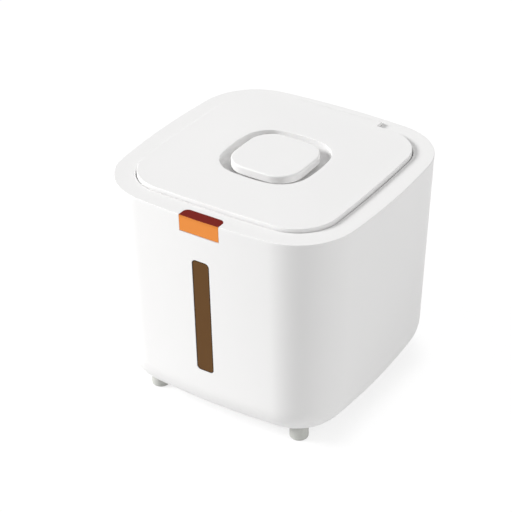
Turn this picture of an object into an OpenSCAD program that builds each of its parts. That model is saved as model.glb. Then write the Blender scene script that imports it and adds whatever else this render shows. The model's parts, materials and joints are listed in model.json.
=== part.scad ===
// Rice bin with a press-button flip lid.
// +Z is up, -Y is the front with the window and the latch, X runs along the front.
// The origin is on the floor under the middle of the bin. All sizes are millimetres.

/* [Tub] */
// Width and depth of the bin at its rim
body_w = 272; // [250:1:300]
// Height of the flat rim above the floor
rim_z = 247.5; // [230:0.5:280]
// How far each side leans in from the rim down to the underside
lean = 7.3; // [5:0.1:12]
// Radius of the vertical corners at the rim
body_corner_r = 64.8; // [50:0.2:70]
// Radius of the vertical corners at the underside
body_bottom_corner_r = 56.4; // [48:0.2:60]
// How far the middle of each side bulges out past its ends
body_bow = 3.2; // [1:0.1:5]
// Radius of the rounded bottom edge
bottom_edge_r = 41; // [30:0.5:44]
// Wall thickness of the tub
wall = 2.6; // [2:0.1:3.4]
// Floor thickness of the tub
floor_t = 3; // [2.4:0.1:4]

/* [Window] */
// Width of the viewing strip
window_w = 19.8; // [12:0.1:24]
// Height of the viewing strip
window_h = 130.6; // [80:0.2:140]
// Height of the strip's lower end above the floor
window_z = 70.8; // [60:0.2:90]
// Corner radius of the strip
window_r = 4.6; // [2:0.1:6]
// How far the flange behind the wall reaches past the strip
window_flange = 3; // [2:0.1:4]
// Thickness of that flange
window_flange_t = 1.6; // [1:0.1:2.5]

/* [Top frame] */
// Thickness of the top plate
frame_t = 4; // [3:0.1:5]
// Depth of the recess that the lid lies in
recess_depth = 8; // [6.5:0.1:9]
// Thickness of the ledge around the mouth
ledge_t = 2.5; // [2:0.1:3.5]
// Thickness of the frame's standing walls
frame_wall = 2; // [1.5:0.1:2.5]
// Distance from the lid's edge to the mouth
mouth_inset = 13.3; // [12.8:0.1:16]
// Depth of the collar below the ledge
collar_h = 13; // [8:0.5:18]
// Depth of the skirt that plugs into the tub
skirt_h = 12; // [8:0.5:14]
// Gap between that skirt and the tub's wall at the rim
skirt_gap = 0.8; // [0.7:0.1:1.5]

/* [Lid] */
// Width of the rim between the lid and the outer edge
rim_w = 23.7; // [23:0.1:28]
// Corner radius of the lid
lid_corner_r = 44.2; // [36:0.2:50]
// Bulge of each side of the lid
lid_bow = 1.35; // [0.5:0.05:2]
// How far the lid stands above the rim
lid_proud = 4; // [3.5:0.1:5]
// Thickness of the lid's top plate
lid_t = 2.5; // [2:0.1:3]
// Gap around the lid in its recess
lid_gap = 1; // [0.8:0.05:1.4]
// Thickness of the lid's skirt
lid_skirt_t = 2.2; // [1.8:0.1:2.6]
// Height of the lid's skirt above the ledge
lid_lift = 1.5; // [1.2:0.1:2]
// Thickness of the inner plate
liner_t = 2.3; // [2:0.1:3]
// Depth of the plug rim under the inner plate
plug_h = 9; // [5:0.5:10]
// Thickness of the plug rim
plug_t = 2; // [1.5:0.1:2.5]
// Gap between the plug rim and the mouth
plug_gap = 0.8; // [0.6:0.1:1.2]
// Distance of the seal ring from the lid's edge
gasket_inset = 7.3; // [6.8:0.1:8]
// Width of the seal ring
gasket_w = 4; // [3:0.1:4.5]
// Height of the seal ring
gasket_h = 1.5; // [1.4:0.05:1.6]
// Radius of the stakes that hold the inner plate
stake_r = 2; // [1.5:0.1:2.5]
// Distance of the stakes from the lid's edge
stake_inset = 19; // [18.8:0.1:24]
// Distance of the stakes from the middle of each side
stake_side = 40; // [30:0.5:50]

/* [Well and knob] */
// Width of the well in the lid
well_w = 100.4; // [92:0.2:104]
// Corner radius of the well
well_corner_r = 32.5; // [28:0.5:38]
// Bulge of each side of the well
well_bow = 1; // [0.5:0.1:1.5]
// Depth of the well below the lid's top
well_depth = 9.5; // [8:0.1:10]
// Thickness of the well's floor and walls
well_t = 2; // [1.5:0.1:2.2]
// Width of the knob
knob_w = 78.4; // [76:0.2:86]
// Corner radius of the knob
knob_corner_r = 25.4; // [20:0.2:30]
// How far the knob stands above the lid
knob_proud = 3.5; // [2:0.1:6]
// Height of the knob's rim
knob_h = 8.5; // [7:0.1:9]
// Wall thickness of the knob
knob_t = 2.2; // [1.8:0.1:2.6]
// Outer radius of the cartridge
cartridge_r = 32.5; // [28:0.1:34]
// Depth of the cartridge below the knob
cartridge_h = 29.5; // [22:0.5:34]
// Wall thickness of the cartridge
cartridge_t = 2; // [1.8:0.1:2.6]
// Thickness of the flange that closes the knob from below
flange_t = 2; // [1.5:0.1:3]
// Gap between the cartridge and the lid around it
socket_gap = 1; // [0.8:0.05:1.2]
// Depth of the collar that guides the cartridge, below the inner plate
socket_h = 8; // [5:0.5:12]
// Depth of the groove for the seal ring
groove_t = 1; // [0.8:0.05:1.1]
// Height of the seal ring below the knob
groove_drop = 11.2; // [8:0.1:13]
// Height of the vented cover's rim
grille_rim = 1.5; // [1.2:0.1:2.5]
// How far the vented cover goes into the cartridge
grille_t = 2.4; // [2:0.1:4]
// Width of the vented cover's slots
vent_w = 1.8; // [1:0.1:2.4]
// Distance from slot to slot
vent_pitch = 4.4; // [3.6:0.1:6]

/* [Latch] */
// Width of the latch opening
latch_w = 45.2; // [36:0.2:50]
// Height of the button's face below the rim
latch_h = 17.4; // [14.6:0.1:18]
// Depth of the cap over the button
cap_depth = 13; // [11:0.1:14]
// Thickness of that cap
cap_t = 1.2; // [1:0.1:1.6]
// Radius of the cap's back corners
cap_r = 6; // [3:0.5:8]
// Travel of the button
latch_travel = 3; // [2:0.1:3]
// Thickness of the button's top and sides
button_web = 2; // [1.6:0.1:2.4]
// Thickness of the tongue that catches the lid
tongue_t = 2.5; // [2:0.1:2.8]
// Width of the lid's hook
hook_w = 15; // [10:0.5:17]
// Thickness of the lid's hook
hook_t = 2; // [1.6:0.1:2.2]
// Thickness of the tray under the latch
tray_t = 2.5; // [2:0.1:3]
// Shank radius of the screws that hold the tray
latch_screw_r = 1.2; // [1:0.05:1.4]
// Head radius of those screws
latch_head_r = 2.5; // [2.2:0.1:3]
// Head height of those screws
latch_head_h = 1.6; // [1.2:0.1:2]
// Length of those screws below their heads
latch_screw_h = 11.5; // [9:0.5:12.5]
// Distance of those screws behind the front of the rim
latch_screw_in = 13; // [11:0.1:15]
// Thickness of the button's face
button_t = 2.5; // [2:0.1:3]
// Wire diameter of the latch springs
latch_wire = 0.8; // [0.6:0.05:1]
// Mean radius of the latch springs' coils
latch_coil_r = 2.5; // [2.3:0.05:2.7]

/* [Hinge] */
// Height of the hinge axis below the rim
hinge_drop = 2.5; // [2:0.1:2.8]
// Distance of the hinge axis behind the lid's edge
hinge_back = 6.7; // [6.5:0.1:8]
// Half the width of the hinge pocket
hinge_half_w = 52; // [50:0.5:60]
// Radius of the hinge pins
pin_r = 1.5; // [1.2:0.05:1.6]
// Thickness of the lid's round back over the hinge
shell_t = 2; // [1.5:0.1:2.2]
// Gap between the lid's round back and its pocket
shell_gap = 0.9; // [0.8:0.05:1.2]
// Wall of the lugs and arms round a pin
lug_wall = 2.4; // [2:0.1:2.6]
// Width of each lug that holds a pin
lug_w = 8; // [6:0.5:9]
// Distance of the lugs from the middle
lug_x = 24; // [18:0.5:25]
// Width of each arm of the lid
arm_w = 9; // [7:0.5:10]
// Wire diameter of the lid springs
lid_wire = 0.8; // [0.6:0.05:0.9]

/* [Feet] */
// Distance of the feet from the underside's left and right edges
foot_inset_x = 43.7; // [40:0.1:50]
// Distance of the feet from the underside's front and back edges
foot_inset_y = 37.7; // [37:0.1:50]
// Height of the tub's underside above the floor
foot_h = 10.5; // [8:0.5:14]
// Radius of a foot
foot_r = 9.75; // [8:0.05:10.5]
// Radius of the rounded edge under a foot
foot_edge_r = 2; // [1:0.1:3]
// How far a foot goes up into its socket
socket_depth = 5; // [4.5:0.1:6]
// Wall of the pad round each socket
pad_wall = 3.5; // [2.5:0.1:4.5]
// Thickness of the pad over each socket
pad_h = 4.5; // [4:0.1:7]
// Shank radius of the screws that hold the feet
foot_screw_r = 1.5; // [1.2:0.05:1.8]
// Head radius of those screws
foot_head_r = 3.6; // [3:0.1:4.2]
// Head height of those screws
foot_head_h = 2; // [1.5:0.1:2.6]
// Height above the floor where the heads bear on the feet
foot_head_z = 4.5; // [4:0.1:6]

/* [Fits] */
// Gap between pieces that are assembled once
fit = 0.15; // [0.1:0.01:0.2]
// Gap between pieces that move past each other
slide_fit = 0.3; // [0.25:0.01:0.35]
// Radial clearance of a pin in a hole that turns on it
pin_fit = 0.06; // [0.03:0.01:0.09]
// Radial clearance of a screw in the hole that holds it
screw_fit = 0.03; // [0.02:0.01:0.05]

/* [Hidden] */

$fn = 48;
side_steps = 6;      // straight pieces along each bowed side, an even number
corner_steps = 12;   // straight pieces round each corner
edge_steps = 8;      // straight pieces round the bottom edge
eps = 0.01;          // how far a cut runs past the face it opens

body_half = body_w / 2;
bottom_half = body_half - lean;
under_z = foot_h;
seat_z = rim_z - frame_t;
ledge_z = rim_z - recess_depth;
collar_z = ledge_z - ledge_t - collar_h;
lid_top = rim_z + lid_proud;
lid_half = body_half - rim_w;
plate_z = lid_top - lid_t;
lid_low = ledge_z + lid_lift;
liner_z = ledge_z + 3 * fit;
liner_top = liner_z + liner_t;
well_z = lid_top - well_depth;
tilt = atan((body_half - bottom_half) / (rim_z - under_z));

// Half the tub's width at a height
function half_at(z) = bottom_half + (body_half - bottom_half) * (z - under_z) / (rim_z - under_z);

// The tub's corner radius at a height
function corner_at(z) = body_bottom_corner_r
    + (body_corner_r - body_bottom_corner_r) * (z - under_z) / (rim_z - under_z);

// A square of half width h whose corners are arcs of radius r and whose sides bulge by b,
// drawn in by the distance d. The side arcs and the corner arcs are tangent.
function side_r(h, r, b) = ((h - r) * (h - r) + b * b) / (2 * b);
function corner_c(h, r, b) =
    let (m = h - side_r(h, r, b), k = side_r(h, r, b) - r) (m + sqrt(2 * k * k - m * m)) / 2;
function quarter(h, r, b, d) =
    let (s = side_r(h, r, b), m = h - s, c = corner_c(h, r, b), a = atan2(c, c - m))
    concat(
        [for (i = [0:side_steps]) let (t = a * (2 * i / side_steps - 1))
            [m + (s - d) * cos(t), (s - d) * sin(t)]],
        [for (i = [1:corner_steps - 1]) let (t = a + (90 - 2 * a) * i / corner_steps)
            [c + (r - d) * cos(t), c + (r - d) * sin(t)]]);
function turn(p, q) = [p[0] * cos(90 * q) - p[1] * sin(90 * q), p[0] * sin(90 * q) + p[1] * cos(90 * q)];
function outline(h, r, b, d = 0) = [for (q = [0:3]) for (p = quarter(h, r, b, d)) turn(p, q)];
function lid_line(d) = outline(lid_half, lid_corner_r, lid_bow, d);
function rim_line(d) = outline(body_half, body_corner_r, body_bow, d);
function well_line(d) = outline(well_w / 2, well_corner_r, well_bow, d);
function knob_line(d) = outline(knob_w / 2, knob_corner_r, 0.2, d);

// A flat piece with the given outline between two heights
module slab(line, z0, z1) {
    translate([0, 0, z0]) linear_extrude(z1 - z0) polygon(line);
}

// A standing wall between two outlines
module wall_ring(outer, inner, z0, z1) {
    translate([0, 0, z0]) linear_extrude(z1 - z0) difference() {
        polygon(outer);
        polygon(inner);
    }
}

// A closed solid through rings of the same number of points
module loft(rings) {
    n = len(rings[0]);
    m = len(rings);
    points = [for (ring = rings) for (p = ring) p];
    sides = [for (j = [0:m - 2]) for (i = [0:n - 1]) let (k = (i + 1) % n)
        each [[j * n + i, (j + 1) * n + i, j * n + k], [j * n + k, (j + 1) * n + i, (j + 1) * n + k]]];
    low = [for (i = [0:n - 1]) i];
    high = [for (i = [n - 1:-1:0]) (m - 1) * n + i];
    polyhedron(points, concat([low, high], sides));
}

function lifted(line, z) = [for (p = line) [p[0], p[1], z]];

// The tub's outer form, drawn in by d, from the height low up to the height high
module tub_form(d, low, high) {
    r = bottom_edge_r - d;
    edge = [for (i = [0:edge_steps]) let (t = 90 * i / edge_steps, z = low + r * (1 - cos(t)))
        lifted(outline(half_at(z), corner_at(z), body_bow, d + r * (1 - sin(t))), z)];
    top = lifted(outline(half_at(high), corner_at(high), body_bow, d), high);
    loft(concat(edge, [top]));
}

// A cylinder along X between two places
module rod_x(r, x0, x1, y, z) {
    translate([x0, y, z]) rotate([0, 90, 0]) cylinder(r = r, h = x1 - x0);
}

// A cylinder along Y between two places
module rod_y(r, x, y0, y1, z) {
    translate([x, y1, z]) rotate([90, 0, 0]) cylinder(r = r, h = y1 - y0);
}

// A block between two corners
module block(a, b) {
    translate(a) cube(b - a);
}

// A rectangle with round corners, in the XZ plane, between two depths
module round_plate(w, h, r, y0, y1) {
    translate([0, y1, 0]) rotate([90, 0, 0]) linear_extrude(y1 - y0) union() {
        square([w - 2 * r, h], center = true);
        square([w, h - 2 * r], center = true);
        for (x = [-1, 1], y = [-1, 1]) translate([x * (w / 2 - r), y * (h / 2 - r)]) circle(r);
    }
}

// ---- Tub and window ----

foot_x = bottom_half - foot_inset_x;
foot_y = bottom_half - foot_inset_y;
socket_z = under_z + socket_depth;
pad_r = foot_r + pad_wall;   // round pad on the floor of the tub, over each foot
pad_top = socket_z + pad_h;
foot_screw_top = pad_top - 1.5;

module at_feet() {
    for (x = [-foot_x, foot_x], y = [-foot_y, foot_y]) translate([x, y, 0]) children();
}

// Moves children to the middle of the window, leaning with the front wall
module at_window() {
    mid = window_z + window_h / 2;
    translate([0, -half_at(mid), mid]) rotate([tilt, 0, 0]) children();
}

notch_half = latch_w / 2 - 0.1;   // half the width of the opening in the wall
button_z = rim_z - latch_h + 0.3; // lower edge of the button's face
notch_z = button_z - 0.5;

module tub() {
    color("white") difference() {
        tub_form(0, under_z, seat_z);
        difference() {
            tub_form(wall, under_z + floor_t, seat_z + 1);
            at_feet() cylinder(r = pad_r, h = pad_top);
        }
        at_feet() translate([0, 0, -eps]) cylinder(r = foot_r + fit, h = socket_z + eps);
        at_feet() cylinder(r = foot_screw_r + screw_fit, h = foot_screw_top + 0.5);
        at_window() round_plate(window_w, window_h, window_r, -wall, 2 * wall);
        block([-notch_half, -body_half - 1, notch_z], [notch_half, -body_half + 3 * wall, seat_z + 1]);
    }
}

module window_strip() {
    color("saddlebrown", 0.6) at_window() {
        flange_y = wall + slide_fit;
        round_plate(window_w - 2 * fit, window_h - 2 * fit, window_r - fit, slide_fit, flange_y + 0.2);
        round_plate(window_w + 2 * window_flange, window_h + 2 * window_flange,
            window_r + window_flange, flange_y, flange_y + window_flange_t);
    }
}

// ---- Hinge ----

hinge_y = lid_half + hinge_back;
hinge_z = rim_z - hinge_drop;
knuckle_end = hinge_half_w - 1;  // half the width of the lid's turning part
shell_r = lid_top - hinge_z;     // its round back, as high as the lid
trough_r = shell_r + shell_gap;
lug_r = pin_r + lug_wall;
arm_x = knuckle_end - arm_w;
pin_start = lug_x + 0.5;
pin_end = hinge_half_w + 5;
housing_end = pin_end + 1;

// ---- Top frame ----

skirt_d = wall + skirt_gap;
cap_z = rim_z - cap_t;
tongue_z = ledge_z - ledge_t - tongue_t - 1.3;  // underside of the button's tongue
box_z = tongue_z - 4.2;                         // underside of the latch box
box_front_y = -body_half + wall + 1.9;
recess_y = -lid_half - lid_gap;
back_wall_y = recess_y - frame_wall;
hook_half = hook_w / 2;
slot_half = hook_half + 1.2;
tongue_half = slot_half + 3.3;
hook_front_y = -lid_half + 0.1;
bar_y = hook_front_y + hook_t + 2.2;            // front of the bar that catches the hook
bar_t = 2;
slot_back_y = bar_y + 1.5;
cap_back_y = -body_half + cap_depth + 2 * fit;
button_top = cap_z - slide_fit;
button_back_y = -body_half + cap_depth;
face_y = -half_at(button_top) + 0.25;           // top edge of the button's face
face_back_y = face_y + button_t;
press_y = face_back_y + latch_travel + slide_fit;
guide_half = notch_half - 2;                    // half the width of the button's way under the cap
spring_x = latch_w / 2 - 7.6;
spring_z = tongue_z + 6.2;
peg_r = latch_coil_r - latch_wire / 2 - 0.4;
boss_r = latch_screw_r + 2;
boss_x = notch_half + frame_wall + boss_r;
boss_y = -body_half + latch_screw_in;
tray_z = box_z - tray_t;
latch_screw_top = tray_z + latch_screw_h;

// The cap's outline, grown by g: square in front, round corners behind
module cap_shape(g) {
    half = latch_w / 2 + g;
    front = -body_half - 1;
    back = cap_back_y + g;
    r = cap_r + g;
    translate([-half, front]) square([2 * half, back - r - front]);
    translate([-half + r, front]) square([2 * (half - r), back - front]);
    for (x = [-1, 1]) translate([x * (half - r), back - r]) circle(r);
}

module frame_cuts() {
    slab(lid_line(-lid_gap), ledge_z, rim_z + 1);
    // The button's face, its body and the cap over them
    block([-notch_half, -body_half - 1, box_z], [notch_half, press_y, cap_z]);
    block([-guide_half, press_y - 1, box_z], [guide_half, button_back_y + latch_travel + slide_fit, cap_z]);
    translate([0, 0, cap_z]) linear_extrude(cap_t + 1) cap_shape(0);
    // The slot that the lid's hook drops through, and the way in for the button's tongue
    block([-slot_half, recess_y - eps, ledge_z - ledge_t - 1], [slot_half, slot_back_y, ledge_z + 1]);
    block([-tongue_half - 0.5, back_wall_y - 1, tongue_z - 0.5],
        [tongue_half + 0.5, recess_y + 1, tongue_z + tongue_t + 0.5]);
    // The pocket that the lid's arms turn in
    rod_x(trough_r, -hinge_half_w, hinge_half_w, hinge_y, hinge_z);
    block([-hinge_half_w, hinge_y - trough_r, hinge_z], [hinge_half_w, hinge_y + trough_r, rim_z + 1]);
    block([-hinge_half_w, lid_half - 1, lid_low - 0.5], [hinge_half_w, hinge_y, hinge_z + 1]);
    // Everything above the rim
    translate([0, 0, rim_z]) cylinder(r = body_w, h = 2 * trough_r);
}

module latch_box() {
    outer = notch_half + frame_wall;
    for (x = [-outer, notch_half]) block([x, box_front_y, box_z], [x + frame_wall, recess_y, seat_z + 1]);
    block([-outer, back_wall_y, box_z], [outer, recess_y, ledge_z]);
    for (s = [-1, 1]) {
        translate([s * boss_x, boss_y, box_z]) cylinder(r = boss_r, h = seat_z - box_z + 1);
        block([min(s * boss_x, s * notch_half), boss_y - 1, box_z],
            [max(s * boss_x, s * notch_half), boss_y + 1, seat_z + 1]);
    }
}

module top_frame() {
    color("white") difference() {
        union() {
            difference() {
                union() {
                    wall_ring(rim_line(0), lid_line(-lid_gap), seat_z, rim_z);
                    wall_ring(lid_line(-lid_gap - frame_wall), lid_line(mouth_inset),
                        ledge_z - ledge_t, seat_z);
                    wall_ring(rim_line(skirt_d), rim_line(skirt_d + frame_wall), seat_z - skirt_h, seat_z);
                    rod_x(trough_r + frame_wall, -housing_end, housing_end, hinge_y, hinge_z);
                    latch_box();
                }
                frame_cuts();
            }
            wall_ring(lid_line(mouth_inset - frame_wall), lid_line(mouth_inset), collar_z, ledge_z - eps);
            for (x = [-lug_x - lug_w, lug_x]) {
                rod_x(lug_r, x, x + lug_w, hinge_y, hinge_z);
                block([x, lid_half + lid_gap + slide_fit, hinge_z - trough_r - frame_wall / 2],
                    [x + lug_w, hinge_y - 1, hinge_z]);
            }
            for (x = [-spring_x, spring_x]) rod_y(peg_r, x, back_wall_y - 2.5, back_wall_y + 1, spring_z);
        }
        rod_x(pin_r + screw_fit, -pin_end, pin_end, hinge_y, hinge_z);
        at_bosses() translate([0, 0, box_z - eps])
            cylinder(r = latch_screw_r + screw_fit, h = latch_screw_top - box_z + 0.5);
    }
}

// ---- Latch ----

module latch_cap() {
    color("darkred") intersection() {
        translate([0, 0, cap_z]) linear_extrude(cap_t) cap_shape(-fit);
        slab(rim_line(0), cap_z - 1, rim_z + 1);
    }
}

module latch_button() {
    half = notch_half - slide_fit;
    body = guide_half - slide_fit;
    top = button_top;
    back = button_back_y;
    inner = face_y + button_web / 2;
    tongue_top = tongue_z + tongue_t;
    color("darkorange") difference() {
        union() {
            rotate([90, 0, 90]) translate([0, 0, -half]) linear_extrude(2 * half) polygon([
                [face_y, top], [face_back_y, top], [face_back_y, button_z],
                [face_y + (top - button_z) * tan(tilt), button_z]]);
            block([-body, inner, top - button_web], [body, back, top]);
            for (x = [-body, body - button_web]) block([x, inner, tongue_z], [x + button_web, back, top]);
            block([-body, inner, tongue_z], [body, back, tongue_top]);
            block([-tongue_half, back - 1, tongue_z], [tongue_half, bar_y + bar_t, tongue_top]);
            for (x = [-spring_x, spring_x]) rod_y(peg_r, x, inner, face_back_y + 4, spring_z);
        }
        // The opening that the lid's hook hangs through
        block([-slot_half - slide_fit, hook_front_y - latch_travel - 1, tongue_z - 1],
            [slot_half + slide_fit, bar_y, tongue_top + 1]);
    }
}

tray_back_y = -lid_half + mouth_inset - frame_wall - slide_fit;

module at_bosses() {
    for (x = [-boss_x, boss_x]) translate([x, boss_y, 0]) children();
}

module latch_retainer() {
    outer = notch_half + frame_wall;
    ear_r = boss_r + 1;
    rail_t = 2;
    color("gainsboro") difference() {
        union() {
            block([-outer, box_front_y, tray_z], [outer, tray_back_y, box_z]);
            block([-boss_x, boss_y - ear_r, tray_z], [boss_x, boss_y + ear_r, box_z]);
            at_bosses() translate([0, 0, tray_z]) cylinder(r = ear_r, h = tray_t);
            for (s = [-1, 1]) translate([s * (tongue_half - 1.5), 0, 0])
                block([-rail_t / 2, box_front_y + 4, tray_z],
                    [rail_t / 2, back_wall_y - 0.5, tongue_z - slide_fit]);
        }
        at_bosses() translate([0, 0, tray_z - 1]) cylinder(r = latch_screw_r + fit, h = tray_t + 2);
    }
}

module retainer_screws() {
    color("silver") at_bosses() {
        translate([0, 0, tray_z]) cylinder(r = latch_screw_r, h = latch_screw_top - tray_z);
        translate([0, 0, tray_z - latch_head_h]) screw_head(latch_head_r, latch_head_h);
    }
}

// A round screw head with a cross-shaped recess, open downwards
module screw_head(r, h) {
    w = 1.1 * r;
    t = 0.22 * r;
    difference() {
        cylinder(r = r, h = h);
        for (a = [0, 90]) rotate(a) translate([-w / 2, -t / 2, -eps]) cube([w, t, h / 2 + eps]);
    }
}

// A coil of round wire along +Z, with its two ends closed down onto flat turns
module coil(mean_r, wire, turns, length, sides = 8, steps = 14) {
    n = turns * steps;
    rise = length - wire;
    rings = [for (i = [0:n]) let (a = 360 * i / steps, z = wire / 2 + rise * coil_rise(i / n))
        [for (j = [0:sides - 1]) let (b = -360 * j / sides, r = mean_r + wire / 2 * cos(b))
            [r * cos(a), r * sin(a), z + wire / 2 * sin(b)]]];
    loft(rings);
}

// Share of the rise reached at a share of the turns: the first and last parts stay flat
function coil_rise(s) = s < 0.12 ? 0.35 * s : s > 0.88 ? 1 - 0.35 * (1 - s)
    : 0.042 + (s - 0.12) * 0.916 / 0.76;

module latch_spring(x) {
    seat = fit / 3;
    color("silver") translate([x, face_back_y + seat, spring_z]) rotate([-90, 0, 0])
        coil(latch_coil_r, latch_wire, 7, back_wall_y - face_back_y - 2 * seat);
}

module latch_spring_left() {
    latch_spring(-spring_x);
}

module latch_spring_right() {
    latch_spring(spring_x);
}

// ---- Lid ----

socket_r = cartridge_r + socket_gap;
socket_low = liner_z - socket_h;

module at_stakes() {
    for (q = [0:3], s = [-stake_side, stake_side]) rotate(90 * q) translate([lid_half - stake_inset, s, 0])
        children();
}

// The part of the lid that turns about the hinge
module lid_knuckles() {
    end = knuckle_end;
    root_y = lid_half - lid_skirt_t;
    intersection() {
        difference() {
            rod_x(shell_r, -end, end, hinge_y, hinge_z);
            rod_x(shell_r - shell_t, -end - 1, end + 1, hinge_y, hinge_z);
        }
        block([-end, hinge_y, hinge_z + 2], [end, hinge_y + shell_r, lid_top]);
    }
    block([-end, root_y, lid_top - shell_t], [end, hinge_y, lid_top]);
    for (x = [-end, arm_x]) {
        rod_x(lug_r, x, x + arm_w, hinge_y, hinge_z);
        block([x, root_y, hinge_z - 1.5], [x + arm_w, hinge_y, lid_top - 1]);
    }
}

module lid_cover() {
    hook_low = tongue_z - 3;
    hook_back_y = hook_front_y + hook_t;
    nose_z = tongue_z - slide_fit;
    root_z = lid_low + 1;
    stake_low = liner_z - 0.3;
    color("white") difference() {
        union() {
            wall_ring(lid_line(0), lid_line(lid_skirt_t), lid_low, plate_z);
            wall_ring(lid_line(0), well_line(0), plate_z, lid_top);
            wall_ring(well_line(-well_t), well_line(0), well_z - eps, plate_z + eps);
            slab(well_line(-well_t), well_z - well_t, well_z);
            translate([0, 0, socket_low]) cylinder(r = socket_r + well_t, h = well_z - socket_low);
            at_stakes() translate([0, 0, stake_low]) cylinder(r = stake_r, h = plate_z + 1 - stake_low);
            lid_knuckles();
            rotate([90, 0, 90]) translate([0, 0, -hook_half]) linear_extrude(2 * hook_half) polygon([
                [hook_front_y, root_z], [hook_front_y, hook_low], [hook_back_y, hook_low],
                [bar_y - slide_fit, nose_z], [hook_back_y, nose_z], [hook_back_y, root_z]]);
        }
        translate([0, 0, socket_low - 1]) cylinder(r = socket_r, h = lid_top - socket_low);
        rod_x(pin_r + pin_fit, -pin_end, pin_end, hinge_y, hinge_z);
    }
}

gasket_low = ledge_z + fit;
gasket_top = gasket_low + gasket_h;

module lid_liner() {
    plug_d = mouth_inset + plug_gap;
    color("white") difference() {
        union() {
            slab(lid_line(lid_skirt_t + hook_t), liner_z, liner_top);
            wall_ring(lid_line(plug_d), lid_line(plug_d + plug_t), liner_z - plug_h, liner_z + eps);
        }
        slab(well_line(-well_t - fit), liner_z - 1, liner_top + 1);
        wall_ring(lid_line(gasket_inset), lid_line(gasket_inset + gasket_w), liner_z - eps, gasket_top);
        at_stakes() translate([0, 0, liner_z - 1]) cylinder(r = stake_r + fit, h = liner_t + 2);
    }
}

module lid_gasket() {
    color("lightgray") wall_ring(lid_line(gasket_inset + fit), lid_line(gasket_inset + gasket_w - fit),
        gasket_low, gasket_top);
}

module hinge_pin(s) {
    length = pin_end - 0.3 - pin_start;
    middle = s * (pin_start + length / 2);
    color("silver") rod_x(pin_r, middle - length / 2, middle + length / 2, hinge_y, hinge_z);
}

module hinge_pin_left() {
    hinge_pin(-1);
}

module hinge_pin_right() {
    hinge_pin(1);
}

// A torsion spring round the pin, between the lug and the lid's arm
module lid_spring(s) {
    length = arm_x - lug_x - lug_w - 2 * slide_fit;
    middle = s * (arm_x + lug_x + lug_w) / 2;
    color("silver") translate([middle - length / 2, hinge_y, hinge_z]) rotate([0, 90, 0])
        coil(pin_r + lid_wire / 2 + 0.5, lid_wire, 6, length);
}

module lid_spring_left() {
    lid_spring(-1);
}

module lid_spring_right() {
    lid_spring(1);
}

// ---- Knob and cartridge ----

knob_top = lid_top + knob_proud;
knob_z = knob_top - knob_h;
cup_z = knob_z - cartridge_h;
groove_z = knob_z - groove_drop;
groove_r = cartridge_r - groove_t;
seal_r = (socket_r - slide_fit - groove_r) / 2;  // the ring reaches from the groove almost to the socket

module knob_cap() {
    color("white") difference() {
        slab(knob_line(0), knob_z, knob_top);
        slab(knob_line(knob_t), knob_z - 1, knob_top - knob_t);
    }
}

module cartridge_cup() {
    color("whitesmoke") difference() {
        union() {
            slab(knob_line(knob_t + fit), knob_z, knob_z + flange_t);
            translate([0, 0, cup_z]) cylinder(r = cartridge_r, h = cartridge_h + eps);
        }
        translate([0, 0, cup_z - 1]) cylinder(r = cartridge_r - cartridge_t, h = cartridge_h + 1);
        translate([0, 0, groove_z]) rotate_extrude() translate([groove_r, -seal_r - 0.1])
            square([groove_t + 1, 2 * seal_r + 0.2]);
    }
}

module cartridge_seal() {
    color("dimgray") translate([0, 0, groove_z]) rotate_extrude() translate([groove_r + seal_r + 0.02, 0])
        circle(seal_r);
}

module cartridge_grille() {
    r = cartridge_r - cartridge_t - slide_fit;
    low = cup_z - grille_rim;
    field_r = r - 5;
    rows = floor((field_r - 2) / vent_pitch);
    color("whitesmoke") difference() {
        union() {
            translate([0, 0, low]) cylinder(r = cartridge_r, h = grille_rim - slide_fit);
            translate([0, 0, low]) cylinder(r = r, h = grille_rim + grille_t);
        }
        translate([0, 0, cup_z + 0.5]) cylinder(r = r - 1.6, h = grille_t + 1);
        for (i = [-rows:rows]) {
            y = i * vent_pitch;
            half = sqrt(field_r * field_r - y * y);
            block([-half, y - vent_w / 2, low - 1], [half, y + vent_w / 2, cup_z + 1]);
        }
    }
}

// ---- Feet ----

module foot(x, y) {
    color("darkgray") translate([x, y, 0]) difference() {
        union() {
            translate([0, 0, foot_edge_r]) cylinder(r = foot_r, h = socket_z - foot_edge_r);
            cylinder(r = foot_r - foot_edge_r, h = foot_edge_r + eps);
            translate([0, 0, foot_edge_r]) rotate_extrude() translate([foot_r - foot_edge_r, 0])
                circle(foot_edge_r);
        }
        translate([0, 0, -1]) cylinder(r = foot_head_r + slide_fit, h = foot_head_z + 1);
        cylinder(r = foot_screw_r + fit, h = socket_z + 1);
    }
}

module foot_front_left() {
    foot(-foot_x, -foot_y);
}

module foot_front_right() {
    foot(foot_x, -foot_y);
}

module foot_back_left() {
    foot(-foot_x, foot_y);
}

module foot_back_right() {
    foot(foot_x, foot_y);
}

module foot_screws() {
    color("silver") at_feet() {
        translate([0, 0, foot_head_z - foot_head_h]) screw_head(foot_head_r, foot_head_h);
        translate([0, 0, foot_head_z]) cylinder(r = foot_screw_r, h = foot_screw_top - foot_head_z);
    }
}

tub();
window_strip();
top_frame();
latch_cap();
latch_button();
latch_retainer();
retainer_screws();
latch_spring_left();
latch_spring_right();
lid_cover();
lid_liner();
lid_gasket();
hinge_pin_left();
hinge_pin_right();
lid_spring_left();
lid_spring_right();
knob_cap();
cartridge_cup();
cartridge_seal();
cartridge_grille();
foot_front_left();
foot_front_right();
foot_back_left();
foot_back_right();
foot_screws();
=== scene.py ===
# %% [markdown]
# # A rice bin with a press-button flip lid
#
# A moulded bin is mostly one soft white surface, so its looks hang on smooth outlines, small
# rounded edges and narrow even gaps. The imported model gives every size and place. Each cell
# here builds one piece of the real object on that frame, and then gives it its finish.

# %% Load the fixed frame
import json
import math

import bmesh
import bpy
from mathutils import Matrix, Vector


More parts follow.
